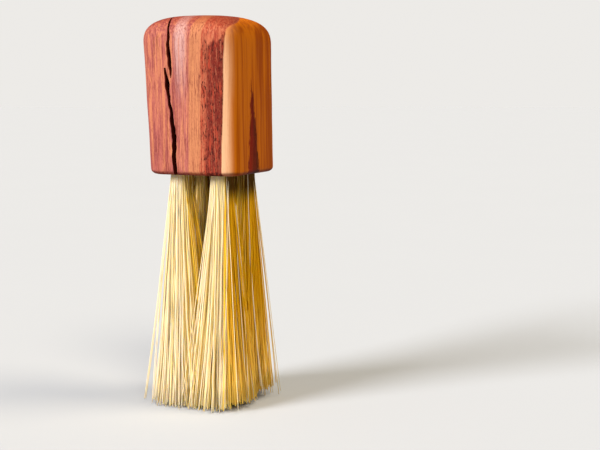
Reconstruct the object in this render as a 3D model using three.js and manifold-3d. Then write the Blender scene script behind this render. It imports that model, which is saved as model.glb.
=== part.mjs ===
// A palm-held body dry brush: a squarish block of cedar with four knots of long plant fibre
// set in drilled sockets in its underside. Millimetres, +Z up. The origin is on the surface
// that the brush stands on, under the middle of the socket pattern. -Y is the front.

import * as THREE from 'three';
import { mergeVertices } from 'three/addons/utils/BufferGeometryUtils.js';
import Module from 'manifold-3d';

// ---- Driving dimensions ------------------------------------------------------------------

const TOTAL_HEIGHT = 193.5;     // from the bristle tips to the crest of the block
const BLOCK_HEIGHT = 77.5;
const BLOCK_HALF = 25;          // half the block's side at mid height
const BLOCK_CORNER = 8;         // radius of the four upright corners
const DOME_HEIGHT = 14.5;       // the top of the block that curves over
const DOME_FLATNESS = 3.8;      // superellipse power across the dome
const DOME_SHOULDER = 2.6;      // superellipse power down its shoulder
const DOME_SQUARENESS = 1.6;    // how far up the dome its plan stays square
const EDGE_EASE = 2.6;          // radius sanded on the bottom edge
const TAPER = 0.014;            // growth of the block's half side per millimetre of height
const LEAN = new THREE.Vector2(-0.027, -0.0143);   // sideways drift per millimetre of height

const KNOT_PITCH = 22.5;        // spacing of the two by two socket pattern
const SOCKET_RADIUS = 6.35;     // a half-inch drill
const SOCKET_DEPTH = 19;        // full diameter, before the drill's point
const DRILL_POINT = THREE.MathUtils.degToRad(118);

const TUFT_RADIUS = 5.8;        // where the fibres leave the socket
const ROOT_RADIUS = 4.7;        // where the binding squeezes them
const ROOT_LENGTH = 14;         // how far they reach into the socket
const WAIST = [1, 3.6];         // heights above the mouth between which the knot narrows
const FOOT_OUTER = 26.5;        // half the width of the flared skirt on the surface
const FOOT_GAP = 1;             // between neighbouring tufts
const FOOT_CORNER = 8;

const TWINE_RADIUS = 0.42;
const TWINE_CLEARANCE = 0.33;
const TWINE_TURNS = 3.5;
const TWINE_PITCH = 1;
const BINDING_START = 4.2;      // above the mouth
const RESIN_RIM = 8.6;          // above the mouth
const RESIN_CLEARANCE = 0.3;

// The drying crack's two stretches: how far each runs into the wood, and the smooth line that it
// follows down the front face, as [x, height above the mouth, width]. Each closes to a point where
// the other takes over, and the lower one stays clear of the front left socket.
const FISSURE_STEPS = 14;
const FISSURE = [
  { depth: 11, line: [[-13, 79, 1], [-10, 69, 1.3], [-10, 60, 2], [-9, 52, 1.6], [-9, 47, 0.3]] },
  { depth: 5, line: [
    [-12, 52, 0.3], [-11, 43, 1.9], [-10, 36, 1], [-9, 28, 1.4], [-8, 18, 2], [-8, 7, 1.5],
    [-8, -2, 1.5],
  ] },
];

const BRISTLE_RADIUS = 0.25;
const BRISTLE_CLEARANCE = 0.45;  // between a stray bristle and its tuft, where it leaves it

const MOUTH_Z = TOTAL_HEIGHT - BLOCK_HEIGHT;

const TUFTS = {
  front_left: [-1, -1],
  front_right: [1, -1],
  back_left: [-1, 1],
  back_right: [1, 1],
};

// Single bristles that stand clear of their knot. Turn is where on the knot's outline they
// leave it, in degrees from +X; leave is the height where they part from it; reach is how far
// out from the outline the tip lies.
const STRAY_BRISTLES = [
  { name: 'left_low', tuft: 'front_left', turn: 196, leave: 62, reach: 3.6, tip: 1.4 },
  { name: 'left_middle', tuft: 'front_left', turn: 208, leave: 58, reach: 2.9, tip: 2.2 },
  { name: 'left_high', tuft: 'front_left', turn: 222, leave: 50, reach: 2.2, tip: 3.4 },
  { name: 'front_long', tuft: 'front_right', turn: 272, leave: 84, reach: 3.1, tip: 1.2 },
  { name: 'front_short', tuft: 'front_right', turn: 318, leave: 70, reach: 2, tip: 2.6 },
  { name: 'right_low', tuft: 'back_right', turn: 16, leave: 60, reach: 1.6, tip: 1.4 },
  { name: 'right_middle', tuft: 'back_right', turn: 28, leave: 54, reach: 1.4, tip: 2.4 },
  { name: 'right_high', tuft: 'back_right', turn: 352, leave: 48, reach: 1.2, tip: 3.6 },
  { name: 'back_long', tuft: 'back_left', turn: 88, leave: 66, reach: 3.1, tip: 1.6 },
  { name: 'back_short', tuft: 'back_left', turn: 132, leave: 56, reach: 2.2, tip: 3 },
];

// ---- Materials ---------------------------------------------------------------------------

const cedar = new THREE.MeshStandardMaterial({ color: 0xa8553f, roughness: 0.42, metalness: 0 });
const fibre = new THREE.MeshStandardMaterial({ color: 0xe3cc8f, roughness: 0.6, metalness: 0 });
const twine = new THREE.MeshStandardMaterial({ color: 0xb39a6b, roughness: 0.85, metalness: 0 });
const resin = new THREE.MeshStandardMaterial({ color: 0x3a2213, roughness: 0.25, metalness: 0 });

// ---- Joining and cutting -----------------------------------------------------------------

const wasm = await Module();
wasm.setup();

function toSolid(geometry) {
  const bare = new THREE.BufferGeometry();
  bare.setAttribute('position', geometry.attributes.position.clone());
  if (geometry.index) bare.setIndex(geometry.index.clone());
  const merged = mergeVertices(bare, 1e-4);
  return new wasm.Manifold(new wasm.Mesh({
    numProp: 3,
    vertProperties: new Float32Array(merged.attributes.position.array),
    triVerts: new Uint32Array(merged.index.array),
  }));
}

function toGeometry(solid) {
  const mesh = solid.getMesh();
  const geometry = new THREE.BufferGeometry();
  geometry.setAttribute('position', new THREE.BufferAttribute(mesh.vertProperties, 3));
  geometry.setIndex(new THREE.BufferAttribute(mesh.triVerts, 1));
  geometry.computeVertexNormals();
  return geometry;
}

// Moves every vertex of a geometry by a function of its position.
function reshape(geometry, move) {
  const positions = geometry.attributes.position;
  const point = new THREE.Vector3();
  for (let i = 0; i < positions.count; i += 1) {
    point.fromBufferAttribute(positions, i);
    move(point);
    positions.setXYZ(i, point.x, point.y, point.z);
  }
  return geometry;
}

// ---- Shared outlines ---------------------------------------------------------------------

// Distance from the centre to the edge of a rounded square, as a multiple of its half side.
// roundness is the corner radius over the half side: 1 gives a circle.
function roundedSquare(angle, roundness) {
  const quarter = Math.PI / 2;
  const folded = Math.abs(((angle % quarter) + quarter) % quarter - quarter / 2);
  const fromFlat = quarter / 2 - folded;
  const corner = 1 - roundness;
  if (Math.tan(fromFlat) <= corner) return 1 / Math.cos(fromFlat);
  const along = corner * (Math.cos(fromFlat) + Math.sin(fromFlat));
  return along + Math.sqrt(along * along - 2 * corner * corner + roundness * roundness);
}

// ---- Handle block ------------------------------------------------------------------------

// Half section of the block from the middle of its underside to its crest. x is the half side.
function blockProfile() {
  const easeSteps = 4;
  const domeSteps = 12;
  const profile = [new THREE.Vector2(0, 0)];
  for (let i = 0; i <= easeSteps; i += 1) {
    const turn = (i / easeSteps) * (Math.PI / 2);
    const out = BLOCK_HALF - EDGE_EASE + EDGE_EASE * Math.sin(turn);
    profile.push(new THREE.Vector2(out, EDGE_EASE - EDGE_EASE * Math.cos(turn)));
  }
  const domeBase = BLOCK_HEIGHT - DOME_HEIGHT;
  profile.push(new THREE.Vector2(BLOCK_HALF, domeBase / 2));
  for (let i = 0; i < domeSteps; i += 1) {
    const turn = (1 - i / domeSteps) * (Math.PI / 2);
    const out = BLOCK_HALF * Math.sin(turn) ** (2 / DOME_FLATNESS);
    const up = DOME_HEIGHT * Math.max(Math.cos(turn), 0) ** (2 / DOME_SHOULDER);
    profile.push(new THREE.Vector2(out, domeBase + up));
  }
  profile.push(new THREE.Vector2(0, BLOCK_HEIGHT));
  return profile;
}

// The squared, tapered and slightly leaning body, standing on z = MOUTH_Z.
function blockBody() {
  const lathe = new THREE.LatheGeometry(blockProfile(), 64);
  lathe.rotateX(Math.PI / 2);
  const squareness = BLOCK_CORNER / BLOCK_HALF;
  return toSolid(reshape(lathe, (p) => {
    const out = Math.hypot(p.x, p.y);
    const inset = Math.max(1 - (out / BLOCK_HALF) ** 2, 0) ** DOME_SQUARENESS;
    const roundness = p.z < BLOCK_HEIGHT / 2 ? squareness : squareness + (1 - squareness) * inset;
    const side = roundedSquare(Math.atan2(p.y, p.x), roundness);
    const grow = side * (1 + (TAPER / BLOCK_HALF) * (p.z - BLOCK_HEIGHT / 2));
    p.x = p.x * grow + LEAN.x * p.z;
    p.y = p.y * grow + LEAN.y * p.z;
    p.z += MOUTH_Z;
  }));
}

// A drilled socket, with the cone that the drill leaves and room to cut the mouth cleanly.
function socketCutter(x, y) {
  const overshoot = 1;
  const cone = SOCKET_RADIUS / Math.tan(DRILL_POINT / 2);
  const profile = [
    new THREE.Vector2(0, -overshoot),
    new THREE.Vector2(SOCKET_RADIUS, -overshoot),
    new THREE.Vector2(SOCKET_RADIUS, SOCKET_DEPTH),
    new THREE.Vector2(0, SOCKET_DEPTH + cone),
  ];
  const lathe = new THREE.LatheGeometry(profile, 32);
  lathe.rotateX(Math.PI / 2);
  lathe.translate(x, y, MOUTH_Z);
  return toSolid(lathe);
}

// The drying crack in the front face, as blades pushed in from the front.
function fissureCutter() {
  const stretches = FISSURE.map(({ depth, line }) => {
    const route = new THREE.CatmullRomCurve3(line.map((spot) => new THREE.Vector3(...spot)));
    const spots = route.getPoints(FISSURE_STEPS);
    const left = spots.map(({ x, y, z: width }) => new THREE.Vector2(x - width / 2, y));
    const right = spots.map(({ x, y, z: width }) => new THREE.Vector2(x + width / 2, y));
    const outline = new THREE.Shape([...left, ...right.reverse()]);
    const blade = new THREE.ExtrudeGeometry(outline, { depth: BLOCK_HALF, bevelEnabled: false });
    blade.rotateX(Math.PI / 2);
    blade.translate(0, depth - BLOCK_HALF, MOUTH_Z);
    return toSolid(blade);
  });
  return stretches[0].add(stretches[1]);
}

function handleBlock() {
  let block = blockBody().subtract(fissureCutter());
  for (const [sideX, sideY] of Object.values(TUFTS)) {
    block = block.subtract(socketCutter(sideX * KNOT_PITCH / 2, sideY * KNOT_PITCH / 2));
  }
  return toGeometry(block);
}

// ---- Knots -------------------------------------------------------------------------------

// A point on a tuft's outline at an angle and height: round at the socket, square at the foot.
function tuftOutline([sideX, sideY], angle, z) {
  const flare = THREE.MathUtils.clamp((MOUTH_Z - z) / MOUTH_Z, 0, 1);
  const footHalf = (FOOT_OUTER - FOOT_GAP / 2) / 2;
  const footCentre = (FOOT_OUTER + FOOT_GAP / 2) / 2;
  const centre = THREE.MathUtils.lerp(KNOT_PITCH / 2, footCentre, flare);
  const footReach = footHalf * roundedSquare(angle, FOOT_CORNER / footHalf);
  const reach = THREE.MathUtils.lerp(TUFT_RADIUS, footReach, flare);
  return new THREE.Vector2(
    sideX * centre + reach * Math.cos(angle),
    sideY * centre + reach * Math.sin(angle),
  );
}

// A bound tuft: its waisted root in the socket and its skirt, which stands on z = 0.
function tuft(corner) {
  const rings = [0, 0.25, 0.5, 0.75, 1].map((part) => ({ z: part * MOUTH_Z, waist: 1 }));
  const squeeze = ROOT_RADIUS / TUFT_RADIUS;
  rings.push({ z: MOUTH_Z + WAIST[0], waist: 1 });
  rings.push({ z: MOUTH_Z + WAIST[1], waist: squeeze });
  rings.push({ z: MOUTH_Z + ROOT_LENGTH, waist: squeeze });
  const column = new THREE.CylinderGeometry(1, 1, rings.length - 1, 40, rings.length - 1);
  column.rotateX(Math.PI / 2);
  return reshape(column, (p) => {
    const ring = rings[Math.round(p.z + (rings.length - 1) / 2)];
    const out = Math.hypot(p.x, p.y) * ring.waist;
    const edge = tuftOutline(corner, Math.atan2(p.y, p.x), ring.z);
    const opposite = tuftOutline(corner, Math.atan2(-p.y, -p.x), ring.z);
    const middle = edge.clone().add(opposite).multiplyScalar(0.5);
    const spot = middle.lerp(edge, out);
    p.set(spot.x, spot.y, ring.z);
  });
}

class Helix extends THREE.Curve {
  constructor(radius, pitch, turns) {
    super();
    Object.assign(this, { radius, pitch, turns });
  }

  getPoint(t, target = new THREE.Vector3()) {
    const angle = t * this.turns * 2 * Math.PI;
    const height = t * this.turns * this.pitch;
    return target.set(this.radius * Math.cos(angle), this.radius * Math.sin(angle), height);
  }
}

// The twine wound round the root of a knot.
function rootBinding() {
  const wrap = ROOT_RADIUS + TWINE_CLEARANCE + TWINE_RADIUS;
  const section = new THREE.Shape().absarc(0, 0, TWINE_RADIUS, 0, 2 * Math.PI);
  return new THREE.ExtrudeGeometry(section, {
    steps: 42,
    curveSegments: 3,
    extrudePath: new Helix(wrap, TWINE_PITCH, TWINE_TURNS),
  });
}

// The cup of set resin that holds the root in its socket.
function settingResin() {
  const outer = SOCKET_RADIUS - RESIN_CLEARANCE;
  const inner = ROOT_RADIUS + RESIN_CLEARANCE;
  const shoulder = SOCKET_DEPTH - RESIN_CLEARANCE;
  const cone = outer / Math.tan(DRILL_POINT / 2);
  const profile = [
    new THREE.Vector2(0, ROOT_LENGTH + RESIN_CLEARANCE),
    new THREE.Vector2(inner, ROOT_LENGTH + RESIN_CLEARANCE),
    new THREE.Vector2(inner, RESIN_RIM),
    new THREE.Vector2(outer, RESIN_RIM),
    new THREE.Vector2(outer, shoulder),
    new THREE.Vector2(0, shoulder + cone),
  ];
  const lathe = new THREE.LatheGeometry(profile, 32);
  lathe.rotateX(Math.PI / 2);
  return lathe;
}

// One bristle that stands clear of its tuft: straight at first, then bowed out to its tip.
function strayBristle({ tuft: name, turn, leave, reach, tip }) {
  const corner = TUFTS[name];
  const angle = THREE.MathUtils.degToRad(turn);
  const outward = new THREE.Vector2(Math.cos(angle), Math.sin(angle));
  const clear = BRISTLE_RADIUS + BRISTLE_CLEARANCE;
  const bristle = new THREE.CylinderGeometry(BRISTLE_RADIUS, BRISTLE_RADIUS * 0.8, 1, 6, 5);
  bristle.rotateX(Math.PI / 2);
  return reshape(bristle, (p) => {
    const down = 0.5 - p.z;
    const z = THREE.MathUtils.lerp(leave, tip, down);
    const offset = clear + (reach - clear) * down ** 1.3;
    const spot = tuftOutline(corner, angle, z).addScaledVector(outward, offset);
    p.set(spot.x + p.x, spot.y + p.y, z);
  });
}

// ---- Assembly ----------------------------------------------------------------------------

function piece(name, geometry, material) {
  const mesh = new THREE.Mesh(geometry, material);
  mesh.name = name;
  return mesh;
}

const brush = new THREE.Group();
brush.name = 'body_dry_brush';
brush.add(piece('handle_block', handleBlock(), cedar));

for (const [name, corner] of Object.entries(TUFTS)) {
  const knot = new THREE.Group();
  knot.position.set(corner[0] * KNOT_PITCH / 2, corner[1] * KNOT_PITCH / 2, MOUTH_Z);
  const binding = piece(`root_binding_${name}`, rootBinding(), twine);
  binding.position.z = BINDING_START;
  knot.add(binding, piece(`setting_resin_${name}`, settingResin(), resin));
  brush.add(knot, piece(`tuft_${name}`, tuft(corner), fibre));
}

for (const stray of STRAY_BRISTLES) {
  brush.add(piece(`stray_bristle_${stray.name}`, strayBristle(stray), fibre));
}

export default brush;
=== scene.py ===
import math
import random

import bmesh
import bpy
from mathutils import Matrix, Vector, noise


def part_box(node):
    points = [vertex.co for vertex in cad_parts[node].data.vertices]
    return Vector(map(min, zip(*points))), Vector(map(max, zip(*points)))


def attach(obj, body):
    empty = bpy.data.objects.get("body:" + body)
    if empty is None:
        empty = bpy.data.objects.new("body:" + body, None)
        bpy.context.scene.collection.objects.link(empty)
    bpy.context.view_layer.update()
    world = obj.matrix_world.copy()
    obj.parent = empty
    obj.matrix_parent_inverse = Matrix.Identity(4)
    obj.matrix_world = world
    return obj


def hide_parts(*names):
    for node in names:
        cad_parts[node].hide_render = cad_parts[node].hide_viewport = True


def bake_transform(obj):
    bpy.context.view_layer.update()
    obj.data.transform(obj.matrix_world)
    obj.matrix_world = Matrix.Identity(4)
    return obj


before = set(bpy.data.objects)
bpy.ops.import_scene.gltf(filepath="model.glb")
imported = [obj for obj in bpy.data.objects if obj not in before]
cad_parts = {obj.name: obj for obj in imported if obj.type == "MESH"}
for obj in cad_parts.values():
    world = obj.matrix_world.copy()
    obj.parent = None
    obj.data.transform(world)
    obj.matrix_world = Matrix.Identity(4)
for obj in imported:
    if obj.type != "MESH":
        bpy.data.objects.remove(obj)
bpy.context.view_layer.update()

# Looks for the body dry brush: a cedar block with four knots of plant fibre. Lengths are in
# metres where no comment says millimetres, and colours are linear. The block is re-made at full
# detail round the frame's sockets, each knot as single fibres, and each stray bristle along its
# own rod in the frame.

MM = 0.001
CIRCLE_SIDES = 96

# ---- Places taken from the frame -----------------------------------------------------------

BLOCK_LOW, BLOCK_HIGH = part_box("handle_block")
MOUTH_Z = BLOCK_LOW.z
BLOCK_HEIGHT = BLOCK_HIGH.z - BLOCK_LOW.z
CORNERS = ("front_left", "front_right", "back_left", "back_right")


def middle(node):
    """The middle of a CAD node's box."""
    low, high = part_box(node)
    return (low + high) / 2


SOCKETS = {corner: middle(f"setting_resin_{corner}") for corner in CORNERS}
FOOT_LOW, FOOT_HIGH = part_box("tuft_front_right")
FOOT_HALF = (FOOT_HIGH.x - FOOT_LOW.x) / 2
FOOT_CENTRE = (FOOT_HIGH.x + FOOT_LOW.x) / 2

# ---- Driving sizes -------------------------------------------------------------------------

BLOCK_HALF = 25 * MM
BLOCK_CORNER = 8 * MM
DOME_HEIGHT = 14.5 * MM
DOME_FLATNESS = 3.8       # the powers of the superellipse that the dome follows, across and up
DOME_SHOULDER = 2.6
DOME_SQUARENESS = 1.6     # how long the dome keeps the block's square plan before it turns round
EDGE_EASE = 2.6 * MM
TAPER = 0.014             # how much the half side grows for each unit of height
LEAN = (-0.027, -0.0143)  # how far the block leans along X and Y for each unit of height
BLOCK_SIDES = 320
EASE_STEPS, SIDE_STEPS, DOME_STEPS = 9, 84, 56
BROAD_WAVES = (17 * MM, 0.22 * MM)     # the size and depth of what shaping by hand leaves
RIPPLES = (4 * MM, 0.05 * MM)          # and of what sanding leaves
TEAR_SIZE = 1.5 * MM
SHARP_EDGE = math.radians(38)

SOCKET_RADIUS = 6.35 * MM
SOCKET_DEPTH = 19 * MM
DRILL_HALF_POINT = math.radians(59)

TUFT_RADIUS = 5.8 * MM
KNOT_FILL = 0.96          # the part of that radius that the centres of a knot's fibres fill
STRAY_PLACE = 0.92        # the part of it at which a stray bristle leaves the mouth
ROOT_SQUEEZE = 0.78
ROOT_TOP = MOUTH_Z + 13.6 * MM
BINDING_FOOT = MOUTH_Z + 3.8 * MM
FOOT_CORNER = 8 * MM
FOOT_DRAW = 0.667         # how far the knots' feet are drawn together, so that they mingle
FOOT_SPLAY = 1.22         # and how much wider than its skirt each knot then spreads
FOOT_REACH = 29.8 * MM    # no fibre stands further out than this along X or Y
FOOT_CLEARANCE = 0.15 * MM

FIBRES_PER_TUFT = 1000
FIBRE_RADIUS = 0.19 * MM
FIBRE_FLARE = 1.25        # over 1, so that the fibres spread mostly near their tips
BOUND_WIDTH = 0.8         # how much of its width a fibre keeps where the binding squeezes it
BOUND_POINTS = 2          # the points of a fibre's path that lie in the binding
FIBRE_SIDES = 5
FIBRE_STEPS = 10
STRAY_TONE = 0.85
STRIP_FILL = 0.9          # how much of its cell of the texture a fibre's strip takes up

FIBRE_THICKNESS = (0.72, 1.24)  # the thinnest and the thickest, as parts of the usual radius
FIBRE_SWELL = (0.92, 1.08)      # how thick a fibre is at its root and at its tip, likewise

LOCKS_PER_TUFT = 16       # the loose locks that a knot's fibres gather into
LOCK_REACH = 0.95         # the part of a knot's foot that their middles lie in
LOCK_PULL = 0.3           # how far towards its lock a fibre's foot is drawn, at most
UNEVEN = 1.8              # the spread of the fibres' feet and of their lengths, in millimetres
MOST_UNEVEN = 5           # the most that a whole fibre is too short, in millimetres
BOW = 0.8                 # the spread of their bowing, in millimetres
STEADY_CHANCE = 0.85      # the chance that a foot has the usual spread, and not twice that
OUTER_SHARE = 0.8         # beyond this share of the way out of its knot a fibre is an outer one
CROSSING_CHANCE = 0.1     # the chance that an outer fibre lies across its neighbours
CROSSING_STEP = (5, 9)    # how far its foot then goes round the knot, in millimetres
SHORT_CHANCE = 0.06       # the chance that a fibre has broken
SHORT_BY = (5, 24)        # how much shorter it then is, in millimetres
TONE_SPREAD = 0.12        # how much a fibre's tone differs from its knot's, either way
INNER_PAINTED_SHADE = 0.35         # how much tone the fibres inside a knot lose, as painted shade between them
STAINED_CHANCE = 0.25     # the chance that a fibre is stained
STAIN = 0.22              # how much tone it then loses

# The tone of each knot, from deep gold at 0 to cream at 1, lower on the back knots as painted shade,
# how much less its +X side has as painted shade, and how much shorter that side is cut.
KNOTS = {
    "front_left": (0.90, 0.6, 0),
    "front_right": (0.86, 0.95, 2.5 * MM),
    "back_left": (0.55, 0.5, 0),
    "back_right": (0.32, 0.6, 5 * MM),
}
PAINTED_SHADE_SIDE = math.radians(25)         # the middle of each knot's side that is painted golden as shade, round from +X
ROOT_SHADE_BELOW = 7                      # how far below the mouth, in millimetres, fibres take a brown painted shade
ROOT_SHADOW_BELOW = (16, 6)                 # and where, coming up, the golden ones take a dark painted shadow

# The log that the block was cut from: where its pith stands in plan, the radius of its heartwood
# level with the sockets' mouths, and how that grows with height. In millimetres, as is the rest.
PITH = (-13, -19)
HEART_RADIUS = 31
HEART_GROWTH = 0.037
RING_WIDTH = 1.9
WANDER = 0.9                           # how far the figure wanders sideways
PATCH_INNER, PATCH_TOP = 19.5, 66      # the torn-grain patch: its inner radius and its top
STREAK_INNER = 13                      # the tan streak lies between this radius and the patch
SHEEN = (-7, 0)                        # the pale rose band beside the crack, across the front: pale figure and painted sheen
SHEEN_RISE = (30, 66)                  # the heights over which the band and its painted sheen come up
PAINTED_LIT_STRIP_EDGE = (23.6, 20.2)              # the X over which the sapwood's pale strip of painted light comes up
PAINTED_LIT_STRIP_FADE = (80, 56)                  # and the heights over which it does, from the top down
WEDGE_HALF, WEDGE_TOP = 6.6, 47        # the dark inclusion in the +X face: half width and height
WEDGE_OFFSET = 3.2                     # how far its foot lies in front of the face's middle
WEDGE_SLOPE = 0.036                    # how far it leans to the front for each unit of height
WEDGE_FRAY = 9                         # how strongly noise frays its edge

# The drying crack's two stretches: how far each runs into the wood, how far each of its lips is
# worn back, and points (x, height above the mouth, width) that its line passes smoothly through,
# in millimetres. All but the wear is as in the CAD.
FISSURES = (
    ("fissure_upper", 11, 0.05, ((-13, 79, 1), (-10, 69, 1.3), (-10, 60, 2), (-9, 52, 1.6),
                                 (-9, 47, 0.3))),
    ("fissure_lower", 5, 0.4, ((-12, 52, 0.3), (-11, 43, 1.9), (-10, 36, 1), (-9, 28, 1.4),
                               (-8, 18, 2), (-8, 7, 1.5), (-8, -2, 1.5))),
)
FISSURE_STEPS = 110

random.seed(11)


# ---- Small mesh helpers --------------------------------------------------------------------

def add_object(name, data):
    """Links a mesh, light or camera to the scene as a new object."""
    made = bpy.data.objects.new(name, data)
    bpy.context.scene.collection.objects.link(made)
    return made


def mesh_from(name, points, faces):
    """A mesh of points and faces, with its faces turned outwards."""
    mesh = bpy.data.meshes.new(name)
    mesh.from_pydata(points, [], faces)
    shell = bmesh.new()
    shell.from_mesh(mesh)
    bmesh.ops.recalc_face_normals(shell, faces=shell.faces)
    shell.to_mesh(mesh)
    shell.free()
    return mesh


def circle(centre, radius, height):
    """A level ring of points about a centre."""
    turns = [2 * math.pi * i / CIRCLE_SIDES for i in range(CIRCLE_SIDES)]
    return [Vector((centre.x + radius * math.cos(turn), centre.y + radius * math.sin(turn), height))
            for turn in turns]


def loft(name, rings):
    """A closed mesh through rings of equally many points. A ring of one point closes an end."""
    points, starts = [], []
    for ring in rings:
        starts.append(len(points))
        points.extend(ring)
    faces = []
    for lower, upper, a, b in zip(rings, rings[1:], starts, starts[1:]):
        count = max(len(lower), len(upper))
        for i in range(count):
            j = (i + 1) % count
            face = [a + i % len(lower), a + j % len(lower), b + j % len(upper), b + i % len(upper)]
            faces.append(list(dict.fromkeys(face)))
    for ring, start in ((rings[0], starts[0]), (rings[-1], starts[-1])):
        if len(ring) > 1:
            faces.append(list(range(start, start + len(ring))))
    return mesh_from(name, points, faces)


def lerp(a, b, t):
    return a + (b - a) * t


def smoothstep(low, high, value):
    t = min(max((value - low) / (high - low), 0), 1)
    return t * t * (3 - 2 * t)


def rounded_square(angle, roundness):
    """Centre to edge of a rounded square of half side 1, whose corner radius is roundness."""
    quarter = math.pi / 2
    from_flat = quarter / 2 - abs(angle % quarter - quarter / 2)
    corner = 1 - roundness
    if math.tan(from_flat) <= corner:
        return 1 / math.cos(from_flat)
    along = corner * (math.cos(from_flat) + math.sin(from_flat))
    return along + math.sqrt(along * along - 2 * corner * corner + roundness * roundness)


# ---- The log's growth rings, shared by the block's relief and its colours ------------------

def ring_radius(point):
    """Distance from the pith, in millimetres, corrected so that the heartwood ends at one value."""
    height = (point.z - MOUTH_Z) / MM
    return math.hypot(point.x / MM - PITH[0], point.y / MM - PITH[1]) - HEART_GROWTH * height


# ---- Handle block --------------------------------------------------------------------------

def block_stations():
    """(half side, height above the mouth) from the middle of the underside to the crest."""
    stations = [(BLOCK_HALF * part, 0) for part in (0.3, 0.6, 0.8)]
    for i in range(EASE_STEPS + 1):
        turn = (i / EASE_STEPS) * math.pi / 2
        out = BLOCK_HALF - EDGE_EASE * (1 - math.sin(turn))
        stations.append((out, EDGE_EASE * (1 - math.cos(turn))))
    dome_base = BLOCK_HEIGHT - DOME_HEIGHT
    for i in range(1, SIDE_STEPS + 1):
        stations.append((BLOCK_HALF, lerp(EDGE_EASE, dome_base, i / SIDE_STEPS)))
    for i in range(1, DOME_STEPS):
        turn = (1 - i / DOME_STEPS) * math.pi / 2
        out = BLOCK_HALF * math.sin(turn) ** (2 / DOME_FLATNESS)
        stations.append((out, dome_base + DOME_HEIGHT * math.cos(turn) ** (2 / DOME_SHOULDER)))
    return stations


def torn_grain(point):
    """How much the grain is torn at a point of the front face: a rough band of late heartwood."""
    radius = ring_radius(point)
    inner = smoothstep(PATCH_INNER, PATCH_INNER + 1.5, radius)
    band = inner * (1 - smoothstep(HEART_RADIUS - 1, HEART_RADIUS, radius))
    front = smoothstep(0, -18 * MM, point.y)
    below_shoulder = 1 - smoothstep(PATCH_TOP - 4, PATCH_TOP, (point.z - MOUTH_Z) / MM)
    return band * front * below_shoulder


def unevenness(point, size, depth, stretch=1):
    """Noise of one size and depth, drawn out along the grain if stretch is under 1."""
    return noise.noise(Vector((point.x, point.y, point.z * stretch)) / size) * depth


def hand_shaped(point, outward):
    """The small unevenness of a surface shaped and sanded by hand, and its torn grain."""
    broad = unevenness(point, *BROAD_WAVES)
    ripple = unevenness(point, *RIPPLES, stretch=0.35)
    torn = torn_grain(point)
    pits = 0
    if torn > 0:
        tears = unevenness(point, TEAR_SIZE, 1, stretch=0.5)
        pits = torn * (min(tears, 0.12) * 0.34 - 0.05) * MM
    return point + outward * (broad + ripple + pits)


def block_mesh():
    rings = [[Vector((0, 0, MOUTH_Z))]]
    squareness = BLOCK_CORNER / BLOCK_HALF
    for half, height in block_stations():
        inset = max(1 - (half / BLOCK_HALF) ** 2, 0) ** DOME_SQUARENESS
        upper = height > BLOCK_HEIGHT / 2
        roundness = lerp(squareness, 1, inset) if upper else squareness
        grow = 1 + TAPER / BLOCK_HALF * (height - BLOCK_HEIGHT / 2)
        settle = smoothstep(0, 1.2 * MM, height) * smoothstep(0, 3 * MM, BLOCK_HEIGHT - height)
        ring = []
        for i in range(BLOCK_SIDES):
            angle = 2 * math.pi * i / BLOCK_SIDES
            reach = half * rounded_square(angle, roundness) * grow
            outward = Vector((math.cos(angle), math.sin(angle), 0))
            point = outward * reach
            point += Vector((LEAN[0] * height, LEAN[1] * height, MOUTH_Z + height))
            ring.append(point.lerp(hand_shaped(point, outward), settle))
        rings.append(ring)
    lean_top = Vector((LEAN[0] * BLOCK_HEIGHT, LEAN[1] * BLOCK_HEIGHT, MOUTH_Z + BLOCK_HEIGHT))
    rings.append([lean_top])
    return loft("handle_block_detailed", rings)


def socket_cutter(centre):
    """A drilled hole with its cone, as a closed cutter."""
    tip = MOUTH_Z + SOCKET_DEPTH + SOCKET_RADIUS / math.tan(DRILL_HALF_POINT)
    return loft("socket_cutter", [
        circle(centre, SOCKET_RADIUS, MOUTH_Z - 1 * MM),
        circle(centre, SOCKET_RADIUS, MOUTH_Z + SOCKET_DEPTH),
        [Vector((centre.x, centre.y, tip))],
    ])


def smooth_route(points, part):
    """A point part of the way, from 0 to 1, along a smooth line through some points."""
    along = part * (len(points) - 1)
    first = min(int(along), len(points) - 2)
    t = along - first
    before, start, end, after = (
        Vector(points[min(max(first + i, 0), len(points) - 1)]) for i in (-1, 0, 1, 2))
    bend = 2 * before - 5 * start + 4 * end - after
    twist = -before + 3 * start - 3 * end + after
    return (2 * start + (end - before) * t + bend * t * t + twist * t * t * t) / 2


def raggedness(seed, height, size, channel):
    """Noise along one stretch of the crack, of a size in millimetres."""
    return noise.noise(Vector((seed, height / size, channel)))


def fissure_cutter(name, depth, wear, points, seed):
    """A ragged wedge along one stretch of the drying crack, wide at its lips and narrow inside."""
    outside = -BLOCK_HALF - 6 * MM
    shallow = -BLOCK_HALF + 1.5 * MM
    rings = []
    for i in range(FISSURE_STEPS + 1):
        x, height, width = smooth_route(points, i / FISSURE_STEPS)
        x += raggedness(seed, height, 5, 0) * 0.4
        left = wear + width / 2 * (1 + 0.5 * raggedness(seed, height, 2.6, 3))
        right = wear + width / 2 * (1 + 0.5 * raggedness(seed, height, 2.6, 7))
        bottom = -BLOCK_HALF + (depth - 0.9 * raggedness(seed, height, 4, 11)) * MM
        section = (
            (-left, outside), (right, outside), (right * 0.9, shallow),
            (right * 0.25 + 0.3, bottom), (0.2 - left * 0.25, bottom), (-left * 0.9, shallow),
        )
        z = MOUTH_Z + height * MM
        rings.append([Vector(((x + across) * MM, y, z)) for across, y in section])
    return loft(name, rings)


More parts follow.
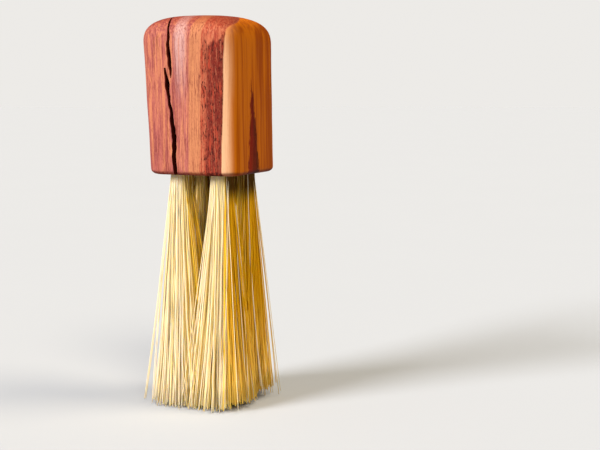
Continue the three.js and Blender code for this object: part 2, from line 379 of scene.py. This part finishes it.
def carve(block, cutter_mesh, material):
    """Cuts a closed mesh out of the block. The cut faces take the cutter's material."""
    cutter_mesh.materials.append(material)
    cutter = add_object(cutter_mesh.name, cutter_mesh)
    cut = block.modifiers.new("cut", "BOOLEAN")
    cut.operation = "DIFFERENCE"
    cut.solver = "EXACT"
    cut.material_mode = "TRANSFER"
    cut.object = cutter
    bpy.context.view_layer.update()
    graph = bpy.context.evaluated_depsgraph_get()
    carved = bpy.data.meshes.new_from_object(block.evaluated_get(graph))
    block.modifiers.clear()
    block.data = carved
    bpy.data.objects.remove(cutter)


def make_block(cedar, crack_wood):
    mesh = block_mesh()
    mesh.materials.append(cedar)
    block = add_object("cedar_block", mesh)
    for number, (name, depth, wear, points) in enumerate(FISSURES, start=1):
        carve(block, fissure_cutter(name, depth, wear, points, number * 2.7), crack_wood)
    for centre in SOCKETS.values():
        carve(block, socket_cutter(centre), cedar)
    block.data.polygons.foreach_set("use_smooth", [True] * len(block.data.polygons))
    block.data.set_sharp_from_angle(angle=SHARP_EDGE)
    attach(block, "handle")
    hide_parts("handle_block")


# ---- Fibres --------------------------------------------------------------------------------

def foot_point(corner, angle, share):
    """Where a fibre stands: share is how far out of the tuft it is, from 0 to 1."""
    side_x = math.copysign(1, SOCKETS[corner].x)
    side_y = math.copysign(1, SOCKETS[corner].y)
    reach = FOOT_HALF * FOOT_SPLAY * share * rounded_square(angle, FOOT_CORNER / FOOT_HALF)
    return Vector((
        side_x * FOOT_CENTRE * FOOT_DRAW + reach * math.cos(angle),
        side_y * FOOT_CENTRE * FOOT_DRAW + reach * math.sin(angle),
        0,
    ))


def bound_root(axis, out):
    """The points of a fibre's path that lie in the binding, squeezed in towards its middle."""
    return [Vector((axis.x, axis.y, height)) + out * ROOT_SQUEEZE
            for height in (ROOT_TOP, BINDING_FOOT)]


def fibre_path(corner, angle, share, foot, tip_height, bow):
    """Points down one fibre, from its bound root through the socket's mouth to its tip."""
    axis = SOCKETS[corner]
    out = Vector((math.cos(angle), math.sin(angle), 0)) * TUFT_RADIUS * KNOT_FILL * share
    mouth = Vector((axis.x, axis.y, MOUTH_Z)) + out
    path = bound_root(axis, out)
    for i in range(FIBRE_STEPS + 1):
        part = i / FIBRE_STEPS * (1 - tip_height / MOUTH_Z)
        point = mouth.lerp(foot, part ** FIBRE_FLARE)
        point.z = lerp(MOUTH_Z, 0, part)
        point += bow * math.sin(math.pi * part)
        path.append(point)
    return path


def fibre_tone(corner, angle, share):
    """A fibre's tone, which is less on the knot's golden side and inside the knot as painted shade, and
    less when stained.
    """
    tone, drop, _ = KNOTS[corner]
    # Painted shade: the knot's golden +X side and its inside lose tone.
    golden = smoothstep(0.0, 0.6, math.cos(angle - PAINTED_SHADE_SIDE)) * share
    inner = INNER_PAINTED_SHADE * (1 - smoothstep(0.6, 0.97, share))
    own = random.uniform(-TONE_SPREAD, TONE_SPREAD) - (STAIN if random.random() < STAINED_CHANCE else 0)
    return min(max(tone - drop * golden - inner + own, 0), 1)


def level_spread(spread):
    """A random step in plan, of a spread in millimetres."""
    return Vector((random.gauss(0, spread), random.gauss(0, spread), 0)) * MM


def crossing(angle):
    """The step of a foot that goes round the knot, to either side."""
    across = Vector((-math.sin(angle), math.cos(angle), 0))
    return across * random.choice((-1, 1)) * random.uniform(*CROSSING_STEP) * MM


def tuft_fibres(corner):
    """The (path, tone) of each fibre of a knot, spread evenly in the socket and gathered into
    loose locks. A few lie across their neighbours, a few are short, and a few stray."""
    locks = [(random.uniform(0, 2 * math.pi), math.sqrt(random.random()) * LOCK_REACH)
             for _ in range(LOCKS_PER_TUFT)]
    lock_feet = [foot_point(corner, angle, share) for angle, share in locks]
    golden_angle = math.pi * (3 - math.sqrt(5))
    _, _, cut_short = KNOTS[corner]
    fibres = []
    for i in range(FIBRES_PER_TUFT):
        share = math.sqrt((i + 0.5) / FIBRES_PER_TUFT)
        angle = (i * golden_angle) % (2 * math.pi)
        foot = foot_point(corner, angle, share)
        nearest = min(lock_feet, key=lambda lock: (lock - foot).length)
        foot = foot.lerp(nearest, random.uniform(0, LOCK_PULL))
        foot += level_spread(UNEVEN if random.random() < STEADY_CHANCE else 2 * UNEVEN)
        tone = fibre_tone(corner, angle, share)
        if share > OUTER_SHARE and random.random() < CROSSING_CHANCE:
            foot += crossing(angle)
            tone = random.uniform(0.8, 1)
        foot.x = min(max(foot.x, -FOOT_REACH), FOOT_REACH)
        foot.y = min(max(foot.y, -FOOT_REACH), FOOT_REACH)
        bow = level_spread(BOW)
        tip = min(abs(random.gauss(0, UNEVEN)), MOST_UNEVEN) * MM
        tip += cut_short * smoothstep(0.1, 0.8, math.cos(angle) * share)
        if random.random() < SHORT_CHANCE:
            tip = random.uniform(*SHORT_BY) * MM
        fibres.append((fibre_path(corner, angle, share, foot, tip + FOOT_CLEARANCE, bow), tone))
    return fibres


def fibre_mesh(name, fibres):
    """One mesh of fibres, each a (path, tone). Along runs from its root to its tip."""
    points, faces, tones, alongs, places = [], [], [], [], []
    columns = math.ceil(math.sqrt(len(fibres)))
    for index, (path, tone) in enumerate(fibres):
        radius = FIBRE_RADIUS * random.uniform(*FIBRE_THICKNESS)
        roll = random.uniform(0, 2 * math.pi)
        start = len(points)
        last = len(path) - 1
        for step, centre in enumerate(path):
            along = step / last
            wide = radius * lerp(*FIBRE_SWELL, along) * (BOUND_WIDTH if step < BOUND_POINTS else 1)
            for k in range(FIBRE_SIDES):
                turn = 2 * math.pi * (k / FIBRE_SIDES) + roll
                points.append(centre + Vector((math.cos(turn), math.sin(turn), 0)) * wide)
                tones.append(tone)
                alongs.append(along)
        cell = ((index % columns) / columns, (index // columns) / columns)
        for step in range(last):
            a = start + step * FIBRE_SIDES
            for k in range(FIBRE_SIDES):
                j = (k + 1) % FIBRE_SIDES
                faces.append((a + k, a + FIBRE_SIDES + k, a + FIBRE_SIDES + j, a + j))
                places.append((cell, k, step, last))
        faces.append(tuple(range(start, start + FIBRE_SIDES)))
        end = start + last * FIBRE_SIDES
        faces.append(tuple(reversed(range(end, end + FIBRE_SIDES))))
        places.extend([(cell, 0, 0, last), (cell, 0, last - 1, last)])
    mesh = bpy.data.meshes.new(name)
    mesh.from_pydata(points, [], faces)
    for attribute, values in (("tone", tones), ("along", alongs)):
        mesh.attributes.new(attribute, "FLOAT", "POINT").data.foreach_set("value", values)
    lay_out_strips(mesh, places, STRIP_FILL / columns)
    mesh.polygons.foreach_set("use_smooth", [len(face) == 4 for face in faces])
    return mesh


def lay_out_strips(mesh, places, cell_size):
    """Gives every fibre its own cell of the texture, with the sides of its quads side by side.
    The small faces at its two ends lie along the strip's own ends."""
    layer = mesh.uv_layers.new(name="OFBake")
    flat = []
    for polygon, (cell, k, step, last) in zip(mesh.polygons, places):
        left, right = k / FIBRE_SIDES, (k + 1) / FIBRE_SIDES
        top, bottom = step / last, (step + 1) / last
        corners = [(left, top), (left, bottom), (right, bottom), (right, top)]
        for i in range(polygon.loop_total):
            u, v = corners[i] if polygon.loop_total == 4 else corners[0 if step == 0 else 1]
            flat.extend((cell[0] + u * cell_size, cell[1] + v * cell_size))
    layer.data.foreach_set("uv", flat)


def bend_with_body(piece):
    """Bakes a piece's place into its mesh."""
    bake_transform(piece)


def make_tuft(corner, fibre):
    mesh = fibre_mesh(f"fibres_{corner}", tuft_fibres(corner))
    mesh.materials.append(fibre)
    tuft = add_object(f"fibres_{corner}", mesh)
    bend_with_body(tuft)
    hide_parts(f"tuft_{corner}")


def rod_centres(node):
    """The centres of a CAD rod's rings, from its top to its tip."""
    rings = {}
    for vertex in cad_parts[node].data.vertices:
        rings.setdefault(round(vertex.co.z / MM, 1), set()).add(tuple(vertex.co))
    centres = []
    for height in sorted(rings, reverse=True):
        ring = [Vector(point) for point in rings[height]]
        centres.append(sum(ring, Vector()) / len(ring))
    return centres


def make_stray(node, corner, fibre):
    """A whole bristle: from the knot's root down the tuft, then along its rod in the frame."""
    rod = rod_centres(node)
    socket = SOCKETS[corner]
    outward = Vector((rod[0].x - socket.x, rod[0].y - socket.y, 0)).normalized()
    out = outward * TUFT_RADIUS * STRAY_PLACE
    mouth = Vector((socket.x, socket.y, MOUTH_Z)) + out
    path = bound_root(socket, out)
    path.extend(mouth.lerp(rod[0], part) for part in (0, 0.35, 0.7))
    name = node.replace("stray_bristle", "stray_fibre")
    mesh = fibre_mesh(name, [(path + rod, STRAY_TONE)])
    mesh.materials.append(fibre)
    stray = add_object(name, mesh)
    bend_with_body(stray)
    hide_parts(node)


# ---- Materials -----------------------------------------------------------------------------

class Shader:
    """A material's node tree, with short calls for the nodes that these materials use."""

    def __init__(self, name):
        self.material = bpy.data.materials.new(name)
        self.material.use_nodes = True
        self.tree = self.material.node_tree
        self.surface = self.tree.nodes["Principled BSDF"]

    def fill(self, node, inputs):
        """Links or sets inputs of a node, each by its name or number."""
        for key, value in inputs.items():
            if isinstance(value, bpy.types.NodeSocket):
                self.tree.links.new(value, node.inputs[key])
            else:
                node.inputs[key].default_value = value

    def node(self, kind, inputs, **settings):
        made = self.tree.nodes.new(kind)
        for key, value in settings.items():
            setattr(made, key, value)
        self.fill(made, inputs)
        return made

    def finished(self, sockets):
        """Sets sockets of the surface and gives the material."""
        self.fill(self.surface, sockets)
        return self.material

    def maths(self, operation, *values):
        return self.node("ShaderNodeMath", dict(enumerate(values)), operation=operation).outputs[0]

    def plus(self, first, second):
        return self.maths("ADD", first, second)

    def minus(self, first, second):
        return self.maths("SUBTRACT", first, second)

    def times(self, first, *others):
        product = first
        for other in others:
            product = self.maths("MULTIPLY", product, other)
        return product

    def scaled(self, value, factor, offset):
        """value times factor, plus offset."""
        return self.maths("MULTIPLY_ADD", value, factor, offset)

    def between(self, low, high, value):
        """0 at low, 1 at high, and smooth between them. Low may be the larger of the two."""
        made = self.node("ShaderNodeMapRange", {"Value": value, "From Min": low, "From Max": high})
        made.interpolation_type = "SMOOTHSTEP"
        return made.outputs[0]

    def mix(self, factor, first, second, blend="MIX"):
        made = self.node("ShaderNodeMix", {0: factor, 6: first, 7: second}, data_type="RGBA")
        made.blend_type = blend
        return made.outputs[2]

    def vector(self, operation, *values):
        made = self.node("ShaderNodeVectorMath", dict(enumerate(values)), operation=operation)
        return made.outputs[0]

    def place(self):
        """The piece's own coordinates, in millimetres."""
        coordinates = self.node("ShaderNodeTexCoord", {}).outputs["Object"]
        return self.vector("MULTIPLY", coordinates, (1 / MM, 1 / MM, 1 / MM))

    def axes(self, place):
        """The X, Y and Z of a place or a direction."""
        return self.node("ShaderNodeSeparateXYZ", {"Vector": place}).outputs

    def attribute(self, name):
        return self.node("ShaderNodeAttribute", {}, attribute_name=name).outputs["Fac"]

    def noise(self, place, size, detail=2.0, roughness=0.5, output="Fac"):
        """Noise whose features are size millimetres along x, y and z."""
        stretched = self.vector("MULTIPLY", place, tuple(1 / length for length in size))
        made = self.node("ShaderNodeTexNoise", {
            "Vector": stretched, "Scale": 1.0, "Detail": detail, "Roughness": roughness,
        })
        return made.outputs[output]

    def ramp(self, factor, stops):
        """A colour for each position from 0 to 1."""
        made = self.node("ShaderNodeValToRGB", {"Fac": factor})
        elements = made.color_ramp.elements
        while len(elements) < len(stops):
            elements.new(1.0)
        for element, (position, colour) in zip(elements, stops):
            element.position = position
            element.color = colour
        return made.outputs["Color"]

    def bump(self, height, strength, distance):
        """The normal of a surface with this much relief, distance metres high."""
        made = self.node("ShaderNodeBump", {"Height": height, "Strength": strength,
                                            "Distance": distance})
        return made.outputs[0]


def rgb(red, green, blue):
    return (red, green, blue, 1.0)


# Heartwood, from the pith outwards.
ROSE = rgb(0.345, 0.092, 0.078)
SALMON = rgb(0.48, 0.165, 0.088)
MAUVE = rgb(0.245, 0.060, 0.060)
# The pale rose of the band beside the crack is pale figure with a painted sheen.
PALE_ROSE_PAINTED_SHEEN = rgb(0.52, 0.31, 0.29)
TAN_STREAK = rgb(0.465, 0.182, 0.080)
RED_HEART = rgb(0.30, 0.042, 0.022)
DARK_HEART = rgb(0.135, 0.013, 0.009)
SHOULDER_RED = rgb(0.45, 0.13, 0.066)
GRAIN_LINE = rgb(0.17, 0.035, 0.025)
TORN_PIT = rgb(0.05, 0.010, 0.008)

# Sapwood, with painted light at the pale front corner and painted shade in the amber +X face, and the
# dark wedge in it.
SAPWOOD_PAINTED_LIGHT = rgb(0.64, 0.352, 0.198)
AMBER_PAINTED_SHADE = rgb(0.45, 0.115, 0.002)
DEEP_AMBER = rgb(0.27, 0.050, 0.001)
SAP_LINE = rgb(0.34, 0.070, 0.003)
WEDGE_RED = rgb(0.160, 0.006, 0.001)
WEDGE_DARK = rgb(0.035, 0.002, 0.001)
WEDGE_LIGHT = rgb(0.30, 0.030, 0.002)

# Multipliers: deeper end grain on the heartwood's crown, painted light on the sapwood's, painted shade
# below.
CROWN_ON_HEART = rgb(0.64, 0.30, 0.26)
CROWN_ON_SAP_PAINTED_LIGHT = rgb(1.70, 1.80, 2.60)
UNDERSIDE_PAINTED_SHADE = rgb(0.34, 0.18, 0.16)

# The darker and the lighter wood in the crack at its lips, and deep inside, where it darkens to near
# black as painted shade.
LIP_WOOD = (rgb(0.11, 0.012, 0.008), rgb(0.24, 0.040, 0.024))
DEEP_CRACK_PAINTED_SHADE = (rgb(0.026, 0.002, 0.001), rgb(0.075, 0.006, 0.003))

# Fibres, by their tone, and what their colour tends to in places: paler tips, painted shade and a
# painted shadow below the mouth, and flecks.
FIBRE_TONES = (
    (0.0, rgb(0.66, 0.35, 0.006)), (0.3, rgb(0.77, 0.48, 0.035)),
    (0.6, rgb(0.82, 0.64, 0.28)), (1.0, rgb(0.80, 0.69, 0.53)),
)
BLEACHED_TIP = rgb(0.98, 0.67, 0.16)
ROOT_PAINTED_SHADE = rgb(0.50, 0.36, 0.17)
ROOT_PAINTED_SHADOW = rgb(0.09, 0.035, 0.007)
GOLD_FLECK = rgb(0.64, 0.43, 0.12)

TWINE = (rgb(0.22, 0.13, 0.055), rgb(0.50, 0.36, 0.18))
RESIN = (rgb(0.020, 0.009, 0.004), rgb(0.085, 0.040, 0.014))
FLOOR = (rgb(0.508, 0.538, 0.605), rgb(0.516, 0.546, 0.613))


def grain_radius(shader, axes, height):
    """ring_radius as nodes."""
    across = shader.minus(axes["X"], PITH[0])
    deep = shader.minus(axes["Y"], PITH[1])
    squares = shader.plus(shader.times(across, across), shader.times(deep, deep))
    return shader.minus(shader.maths("SQRT", squares), shader.times(height, HEART_GROWTH))


def wandering(shader, place):
    """A place shifted sideways a little, slowly along the grain, so that the figure wanders."""
    drift = shader.noise(place, (9, 9, 45), detail=3.0, output="Color")
    shift = shader.vector("MULTIPLY_ADD", drift, (2 * WANDER, 2 * WANDER, 0), (-WANDER, -WANDER, 0))
    return shader.vector("ADD", place, shift)


def torn_patch(shader, place, axes, height, radius):
    """Where torn_grain's patch lies, with edges that noise makes ragged."""
    ragged = shader.minus(shader.noise(place, (1.6, 1.6, 7), detail=3.0), 0.5)
    ragged_radius = shader.plus(radius, shader.times(ragged, 3.0))
    ragged_height = shader.plus(height, shader.times(ragged, 24.0))
    return shader.times(shader.between(PATCH_INNER - 0.2, PATCH_INNER + 0.8, ragged_radius),
                        shader.between(PATCH_TOP, PATCH_TOP - 5, ragged_height),
                        shader.between(-4, -16, axes["Y"]))


def heartwood(shader, grain_place, axes, height, radius, patch):
    """Rose and salmon streaks, then a pale band of figure and painted sheen, a tan streak and the dark
    torn patch.
    """
    broad = shader.noise(grain_place, (1.7, 1.7, 60), detail=3.0, roughness=0.6)
    narrow = shader.noise(grain_place, (0.6, 0.6, 24), detail=3.0, roughness=0.6)
    streaks = shader.plus(shader.times(broad, 0.5), shader.times(narrow, 0.5))
    warm = shader.mix(shader.between(0.50, 0.56, streaks), ROSE, SALMON)
    wood = shader.mix(shader.between(0.48, 0.41, streaks), warm, MAUVE)

    # Painted sheen: the pale band grows stronger towards the top.
    strength = shader.scaled(shader.between(*SHEEN_RISE, height), 0.75, 0.05)
    sheen = shader.times(shader.between(SHEEN[0] - 1, SHEEN[0] + 2, axes["X"]),
                         shader.between(SHEEN[1] + 1, SHEEN[1] - 2, axes["X"]), strength)
    wood = shader.mix(sheen, wood, PALE_ROSE_PAINTED_SHEEN)

    streak = shader.times(shader.between(PITH[0], PITH[0] + 4, axes["X"]),
                          shader.between(STREAK_INNER, STREAK_INNER + 1.2, radius), 0.85)
    wood = shader.mix(streak, wood, TAN_STREAK)

    outer = shader.between(PATCH_INNER - 0.4, PATCH_INNER + 0.6, radius)
    outer_wood = shader.mix(shader.between(0.4, 0.6, streaks), RED_HEART, SHOULDER_RED)
    wood = shader.mix(outer, wood, outer_wood)
    core = shader.between(PATCH_INNER + 1.5, PATCH_INNER + 4.5, radius)
    return shader.mix(shader.times(patch, core), wood, DARK_HEART)


def dark_wedge(shader, grain_place, axes, height, bands, fine):
    """How much the dark inclusion in the +X face shows, and its colour."""
    from_middle = shader.plus(axes["Y"], shader.scaled(height, WEDGE_SLOPE, WEDGE_OFFSET))
    half = shader.scaled(height, -WEDGE_HALF / WEDGE_TOP, WEDGE_HALF)
    fray = shader.noise(grain_place, (1.1, 1.1, 7), detail=3.0, roughness=0.7)
    frayed = shader.times(shader.minus(fray, 0.5), WEDGE_FRAY)
    inside = shader.plus(frayed, shader.minus(half, shader.maths("ABSOLUTE", from_middle)))
    shown = shader.times(shader.between(-0.3, 0.5, inside), shader.between(19, 21, axes["X"]))
    dark_side = shader.times(shader.between(-2.5, 3.5, from_middle),
                             shader.between(0.35, 0.55, bands))
    colour = shader.mix(dark_side, WEDGE_RED, WEDGE_DARK)
    colour = shader.mix(shader.between(0.52, 0.60, fine), colour, WEDGE_DARK)
    light = shader.times(shader.between(0.46, 0.38, fine), 0.6)
    return shown, shader.mix(light, colour, WEDGE_LIGHT)


def sapwood(shader, grain_place, axes, height, fine):
    """Pale at the front corner as painted light and amber on the +X face as painted shade, with the
    dark wedge in that face.
    """
    bands = shader.noise(grain_place, (2.2, 2.2, 80), detail=3.0)
    deep = shader.plus(bands, shader.times(shader.between(-12, 22, axes["Y"]), 0.2))
    amber = shader.mix(shader.between(0.42, 0.74, deep), AMBER_PAINTED_SHADE, DEEP_AMBER)
    # Painted light: the pale strip at the front corner. The amber around it is painted shade.
    strip = shader.times(shader.between(-13, -23, axes["Y"]), shader.between(*PAINTED_LIT_STRIP_EDGE, axes["X"]),
                         shader.between(*PAINTED_LIT_STRIP_FADE, height))
    shown, colour = dark_wedge(shader, grain_place, axes, height, bands, fine)
    return shader.mix(shown, shader.mix(strip, amber, SAPWOOD_PAINTED_LIGHT), colour)


def grain_lines(shader, wood, place, radius, fine, in_sap, in_heart):
    """Wood with its rings, fine streaks and grit, which are fainter or missing in the sapwood."""
    dark = shader.mix(in_sap, GRAIN_LINE, SAP_LINE)
    fainter = shader.scaled(in_heart, 0.7, 0.3)
    rings = shader.maths("FRACT", shader.maths("DIVIDE", radius, RING_WIDTH))
    grit = shader.noise(place, (0.5, 0.5, 1.5), detail=3.0, roughness=0.7)
    layers = (
        (shader.between(0.62, 0.97, rings), fainter, 0.22, dark),
        (shader.between(0.52, 0.61, fine), fainter, 0.72, dark),
        (shader.between(0.46, 0.34, fine), in_heart, 0.5, SALMON),
        (shader.between(0.5, 0.68, grit), fainter, 0.4, dark),
        (shader.between(0.48, 0.32, grit), in_heart, 0.3, SALMON),
    )
    for shown, where, strength, colour in layers:
        wood = shader.mix(shader.times(shown, where, strength), wood, colour)
    return wood


def end_grain_and_painted_light(shader, wood, in_sap):
    """Deeper end grain on the heartwood's crown, painted light on the sapwood's, and painted shade
    below.
    """
    normal = shader.node("ShaderNodeTexCoord", {}).outputs["Normal"]
    upwards = shader.axes(normal)["Z"]
    crown = shader.times(shader.between(0.45, 0.95, upwards), 0.55)
    # The crown's multiplier is deeper end grain on the heartwood and painted light on the sapwood.
    wood = shader.mix(crown, wood, shader.mix(in_sap, CROWN_ON_HEART, CROWN_ON_SAP_PAINTED_LIGHT), "MULTIPLY")
    # Painted shade: the underside is darkened.
    below = shader.times(shader.between(-0.15, -0.7, upwards), 0.85)
    return shader.mix(below, wood, UNDERSIDE_PAINTED_SHADE, "MULTIPLY")


def cedar_material():
    shader = Shader("oiled_red_cedar")
    place = shader.place()
    grain_place = wandering(shader, place)
    axes = shader.axes(grain_place)
    height = shader.minus(axes["Z"], MOUTH_Z / MM)
    radius = grain_radius(shader, axes, height)
    fine = shader.noise(grain_place, (0.7, 0.7, 26), detail=4.0, roughness=0.7)
    in_sap = shader.between(HEART_RADIUS - 0.35, HEART_RADIUS + 0.35, radius)
    in_heart = shader.minus(1.0, in_sap)

    patch = torn_patch(shader, place, axes, height, radius)
    heart = heartwood(shader, grain_place, axes, height, radius, patch)
    sap = sapwood(shader, grain_place, axes, height, fine)
    wood = shader.mix(in_sap, heart, sap)
    wood = grain_lines(shader, wood, place, radius, fine, in_sap, in_heart)
    wood = end_grain_and_painted_light(shader, wood, in_sap)

    tears = shader.noise(place, (0.7, 0.7, 2.8), detail=3.0, roughness=0.7)
    blotches = shader.noise(place, (1.6, 1.6, 9), detail=2.0)
    torn = shader.times(patch, in_heart)
    wood = shader.mix(shader.times(torn, shader.between(0.53, 0.68, blotches)), wood, RED_HEART)
    wood = shader.mix(shader.times(torn, shader.between(0.47, 0.38, tears)), wood, TORN_PIT)
    roughness = shader.plus(shader.scaled(fine, 0.22, 0.42), shader.times(torn, 0.2))
    relief = shader.plus(shader.times(fine, -0.5), shader.times(tears, 4.0, torn))
    return shader.finished({"Base Color": wood, "Roughness": roughness, "Specular IOR Level": 0.03,
                            "Normal": shader.bump(relief, 0.5, 0.2 * MM)})


def crack_material():
    shader = Shader("crack_wood_and_painted_shade")
    place = shader.place()
    fibres = shader.noise(place, (0.4, 0.4, 5), detail=3.0)
    front = -BLOCK_HALF / MM
    # Painted shade: the walls darken from the lips to near black inside.
    inside = shader.between(front - 0.4, front + 0.8, shader.axes(place)["Y"])
    wood = shader.mix(inside, shader.mix(fibres, *LIP_WOOD), shader.mix(fibres, *DEEP_CRACK_PAINTED_SHADE))
    return shader.finished({"Base Color": wood, "Roughness": 0.85, "Specular IOR Level": 0.03,
                            "Normal": shader.bump(fibres, 0.6, 0.2 * MM)})


def fibre_material():
    """Paler towards the golden fibres' tips, with painted shade near the mouth, and a painted shadow
    under the block on the golden fibres."""
    shader = Shader("tampico_fibre")
    tone = shader.attribute("tone")
    along = shader.attribute("along")
    place = shader.place()
    below_mouth = shader.minus(MOUTH_Z / MM, shader.axes(place)["Z"])
    flecks = shader.noise(place, (0.7, 0.7, 6), detail=3.0, roughness=0.6)
    bleached = shader.times(shader.between(0.6, 1.0, along), shader.between(0.85, 0.1, tone), 0.6)
    # Painted shade: fibres browner just below the mouth, under the block.
    root_shade = shader.times(shader.between(ROOT_SHADE_BELOW, 0, below_mouth), 0.4)
    # Painted shadow: the golden fibres are darkened under the block.
    root_shadow = shader.times(shader.between(*ROOT_SHADOW_BELOW, below_mouth),
                          shader.between(0.5, 0.15, tone), 0.93)
    flecked = shader.times(shader.between(0.58, 0.78, flecks), 0.4)
    colour = shader.ramp(tone, FIBRE_TONES)
    for strength, shade in ((bleached, BLEACHED_TIP), (root_shade, ROOT_PAINTED_SHADE),
                            (root_shadow, ROOT_PAINTED_SHADOW), (flecked, GOLD_FLECK)):
        colour = shader.mix(strength, colour, shade)
    ridges = shader.noise(place, (0.12, 0.12, 3), detail=2.0)
    return shader.finished({
        "Base Color": colour, "Roughness": shader.scaled(flecks, 0.25, 0.5),
        "Specular IOR Level": 0.02, "Subsurface Weight": 0.5,
        "Subsurface Radius": (1.0, 0.75, 0.35), "Subsurface Scale": 0.3 * MM,
        "Normal": shader.bump(ridges, 0.35, 0.05 * MM),
    })


def twine_material():
    shader = Shader("waxed_twine")
    plies = shader.noise(shader.place(), (0.25, 0.25, 0.12), detail=3.0)
    return shader.finished({"Base Color": shader.mix(plies, *TWINE),
                            "Roughness": shader.scaled(plies, 0.3, 0.5),
                            "Normal": shader.bump(plies, 0.6, 0.1 * MM)})


def resin_material():
    shader = Shader("set_resin")
    clouds = shader.noise(shader.place(), (2.5, 2.5, 2.5), detail=4.0)
    return shader.finished({"Base Color": shader.mix(clouds, *RESIN),
                            "Roughness": shader.scaled(clouds, 0.3, 0.12),
                            "Normal": shader.bump(clouds, 0.3, 0.2 * MM)})


def floor_material():
    shader = Shader("pale_floor")
    tint = shader.noise(shader.place(), (140, 140, 140))
    return shader.finished({"Base Color": shader.mix(tint, *FLOOR), "Roughness": 0.9,
                            "Specular IOR Level": 0.0})


def give_material(node, material):
    """Puts one material on a CAD node that stays in view."""
    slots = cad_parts[node].data.materials
    slots.clear()
    slots.append(material)


# ---- Stage, light and camera ---------------------------------------------------------------

FLOOR_RADIUS = 6.0

# The camera's angles are in degrees: the azimuth round from the front, the pitch up from level and
# the turn to the left of facing the brush. Its lens and its sensor are in millimetres.
CAMERA_AZIMUTH = 28.0
CAMERA_DISTANCE = 0.6623
CAMERA_HEIGHT = 0.1651
CAMERA_PITCH = -6.53
CAMERA_TURN = -3.77
CAMERA_LENS = 79.3
SENSOR_WIDTH = 36

# Each light's degrees round from the camera, degrees up, width in degrees, strength and colour.
LIGHTS = {
    "key": (-58, 26, 26, 4.9, (1.0, 0.98, 0.95)),
    "fill": (12, 48, 25, 1.65, (1.0, 0.88, 0.66)),
    "side": (78, 55, 25, 1.55, (1.0, 0.86, 0.62)),
}
STUDIO_COLOUR = rgb(0.93, 0.91, 0.88)
STUDIO_LIGHTS, STUDIO_SHOWS = 0.18, 0.91    # its strength on the brush, and as the camera sees it


def make_floor():
    rim = circle(Vector(), FLOOR_RADIUS, 0)
    mesh = bpy.data.meshes.new("floor")
    mesh.from_pydata(rim, [], [tuple(range(len(rim)))])
    mesh.materials.append(floor_material())
    floor = add_object("floor", mesh)


def soft_light(name, azimuth, elevation, spread, strength, colour):
    """A distant soft light. Azimuth 0 shines from the front, and spread is its width in degrees."""
    a, e = math.radians(azimuth), math.radians(elevation)
    back = Vector((math.sin(a) * math.cos(e), -math.cos(a) * math.cos(e), math.sin(e)))
    data = bpy.data.lights.new(name, "SUN")
    data.angle = math.radians(spread)
    data.energy = strength
    data.color = colour
    lamp = add_object(name, data)
    lamp.location = back
    lamp.rotation_mode = "QUATERNION"
    lamp.rotation_quaternion = back.to_track_quat("Z", "Y")


def make_light():
    for name, (turn, elevation, spread, strength, colour) in LIGHTS.items():
        soft_light(name, CAMERA_AZIMUTH + turn, elevation, spread, strength, colour)
    make_world()


def make_world():
    """A pale studio, which lights the brush less than it shows, so that the key light leads."""
    world = bpy.data.worlds.new("studio")
    world.use_nodes = True
    tree = world.node_tree
    background = tree.nodes["Background"]
    background.inputs["Color"].default_value = STUDIO_COLOUR
    seen = tree.nodes.new("ShaderNodeLightPath").outputs["Is Camera Ray"]
    strength = tree.nodes.new("ShaderNodeMapRange")
    strength.inputs["To Min"].default_value = STUDIO_LIGHTS
    strength.inputs["To Max"].default_value = STUDIO_SHOWS
    tree.links.new(seen, strength.inputs["Value"])
    tree.links.new(strength.outputs[0], background.inputs["Strength"])
    bpy.context.scene.world = world


def make_camera():
    """Stands a little under the block's crest and looks slightly down, with the brush to the
    left of the picture's middle."""
    data = bpy.data.cameras.new("camera")
    data.sensor_width = SENSOR_WIDTH
    data.lens = CAMERA_LENS
    data.clip_start = 0.01
    camera = add_object("camera", data)
    azimuth = math.radians(CAMERA_AZIMUTH)
    camera.location = (
        CAMERA_DISTANCE * math.sin(azimuth),
        -CAMERA_DISTANCE * math.cos(azimuth),
        CAMERA_HEIGHT,
    )
    camera.rotation_euler = (
        math.radians(90 + CAMERA_PITCH), 0, azimuth + math.radians(CAMERA_TURN),
    )
    bpy.context.scene.camera = camera


# ---- Putting it together -------------------------------------------------------------------

STRAYS = {
    "front_left": ("left_low", "left_middle", "left_high"),
    "front_right": ("front_long", "front_short"),
    "back_right": ("right_low", "right_middle", "right_high"),
    "back_left": ("back_long", "back_short"),
}

make_camera()
make_floor()
make_light()
make_block(cedar_material(), crack_material())
tampico, waxed_twine, set_resin = fibre_material(), twine_material(), resin_material()
for knot in CORNERS:
    make_tuft(knot, tampico)
    give_material(f"root_binding_{knot}", waxed_twine)
    give_material(f"setting_resin_{knot}", set_resin)
    for bristle in STRAYS[knot]:
        make_stray(f"stray_bristle_{bristle}", knot, tampico)

bpy.context.scene.view_settings.view_transform = "Standard"
